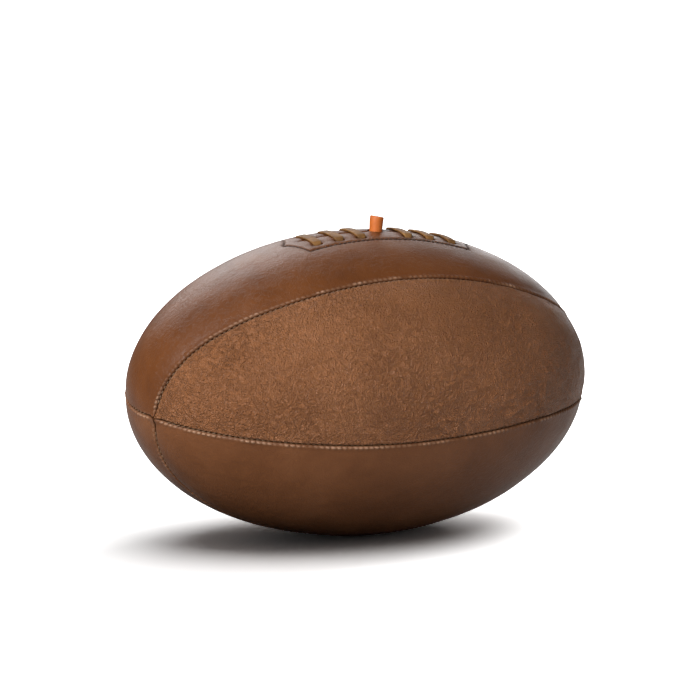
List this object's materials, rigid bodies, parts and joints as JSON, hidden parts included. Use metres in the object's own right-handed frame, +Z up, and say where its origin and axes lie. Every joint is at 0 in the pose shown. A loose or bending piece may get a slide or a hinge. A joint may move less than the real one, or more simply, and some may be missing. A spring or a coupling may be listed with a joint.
{
  "type": "rugby ball",
  "caption": "Prolate four-panel leather ball with a laced slit on top, a rubber bladder inside and a short pull-up valve stem.",
  "frame": {"origin": "the middle of the ball's footprint, at the height of the surface that it rests on", "axes": "+X along the long axis, +Z up through the laced slit, -Y towards the plain front panel"},
  "size_m": [0.2954, 0.1841, 0.1934],
  "materials": {
    "leather_top": "smooth, glossy, reddish brown",
    "leather_front": "pebbled grain, semi-matte, mid brown",
    "leather_bottom": "smooth, satin, dark brown",
    "leather_back": "fine grain, satin, mid brown",
    "canvas": "plain-weave cotton canvas",
    "seam_thread": "waxed linen thread, brown",
    "dark_thread": "waxed linen thread, dark",
    "thong": "tan leather thong, matte",
    "rough_leather": "suede side, undyed",
    "bladder_rubber": "matte black rubber",
    "orange_rubber": "satin orange rubber",
    "valve_rubber": "black rubber"
  },
  "bodies": {
    "ball": {"panel_top": "leather_top", "panel_front": "leather_front", "panel_bottom": "leather_bottom", "panel_back": "leather_back", "lining_top": "canvas", "lining_front": "canvas", "lining_bottom": "canvas", "lining_back": "canvas", "seam_thread_top_front": "seam_thread", "seam_thread_front_bottom": "seam_thread", "seam_thread_bottom_back": "seam_thread", "seam_thread_back_top": "seam_thread", "lace_facing": "rough_leather", "lace_facing_thread": "dark_thread", "lace_left": "thong", "lace_right": "thong", "tongue": "rough_leather", "bladder": "bladder_rubber", "bladder_neck": "bladder_rubber"},
    "valve": {"valve_stem": "orange_rubber", "valve_core": "valve_rubber"}
  },
  "joints": [
    {"name": "stem_slide", "type": "slide", "parent": "ball", "child": "valve", "axis": [0, 0, 1], "range_m": [-0.008, 0.004], "deforming": ["bladder_neck"]}
  ]
}
